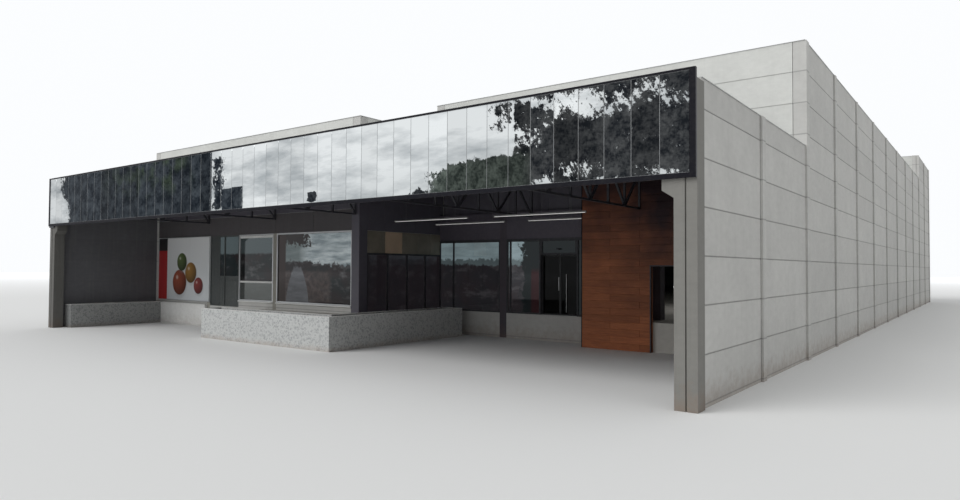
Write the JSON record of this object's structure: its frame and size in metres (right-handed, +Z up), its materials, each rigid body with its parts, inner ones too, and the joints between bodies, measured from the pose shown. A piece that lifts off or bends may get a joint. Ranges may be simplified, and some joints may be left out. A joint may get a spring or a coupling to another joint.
{
  "type": "supermarket building, 1:2 scale model",
  "caption": "Half-size model of a precast concrete supermarket with a mirror-glass canopy front, glazed shop front, sliding entrance door and raised terrace with planter.",
  "frame": {"origin": "middle of the building's footprint at the lowest ground level", "axes": "+X along the front to the viewer's right, +Y from the front into the building, +Z up"},
  "size_m": [15, 30, 5.906],
  "materials": {
    "precast_concrete": "cast",
    "light_concrete": "cast",
    "dark_painted_concrete": "painted",
    "lintel_concrete": "cast",
    "mirror_glass": "polished",
    "black_trim": "satin",
    "aluminium_frame": "anodised",
    "dark_steel": "matte",
    "roof_sheet": "galvanised",
    "clear_glass": "polished",
    "green_panel": "satin",
    "clad_board": "matt",
    "kiosk_board": "satin",
    "red_brown_paint": "painted",
    "poster_print": "printed",
    "white_paint": "painted",
    "floor_concrete": "polished",
    "mosaic": "flecked",
    "soil": "loose",
    "lamp_white": "satin"
  },
  "bodies": {
    "building": {"front_columns": "light_concrete", "side_columns": "precast_concrete", "inner_columns": "precast_concrete", "back_columns": "precast_concrete", "right_canopy_wall": "precast_concrete", "right_side_wall": "precast_concrete", "left_canopy_wall": "dark_painted_concrete", "left_side_wall": "precast_concrete", "back_wall": "precast_concrete", "left_upper_walls": "precast_concrete", "right_upper_front_wall": "precast_concrete", "middle_upper_wall": "precast_concrete", "tower_walls": "precast_concrete", "roofs": "roof_sheet", "roof_beams": "precast_concrete", "mirror_panels": "mirror_glass", "fascia_frame": "black_trim", "fascia_surround": "black_trim", "front_girder": "dark_steel", "canopy_rafters": "dark_steel", "canopy_purlins": "dark_steel", "canopy_roof": "roof_sheet", "floors": "floor_concrete", "foundation_walls": "precast_concrete", "terrace_floor": "floor_concrete", "planter_walls": "mosaic", "planter_soil": "soil", "shop_front_columns": "light_concrete", "poster_wall": "precast_concrete", "lintel_panels": "lintel_concrete", "poster_panel": "poster_print", "poster_plinth": "white_paint", "shop_door_panel": "green_panel", "shop_window_frames": "aluminium_frame", "court_window_frame": "black_trim", "shop_window_glass": "clear_glass", "kiosk_upper_panels": "kiosk_board", "entrance_columns": "red_brown_paint", "entrance_frames": "black_trim", "entrance_glass": "clear_glass", "entrance_header": "dark_steel", "door_operator": "black_trim", "clad_wall_sides": "clad_board", "clad_wall_over_opening": "clad_board", "hung_lights": "lamp_white", "wall_cappings": "roof_sheet"},
    "left_door_leaf": {"left_sliding_leaf": "black_trim", "left_leaf_glass": "clear_glass"},
    "right_door_leaf": {"right_sliding_leaf": "black_trim", "right_leaf_glass": "clear_glass"}
  },
  "joints": [
    {"name": "left_leaf_slide", "type": "slide", "parent": "building", "child": "left_door_leaf", "axis": [-1, 0, 0], "range_m": [0, 0.37]},
    {"name": "right_leaf_slide", "type": "slide", "parent": "building", "child": "right_door_leaf", "axis": [1, 0, 0], "range_m": [0, 0.37]}
  ],
  "couplings": [
    {"joint": "right_leaf_slide", "follows": "left_leaf_slide", "ratio": 1}
  ]
}
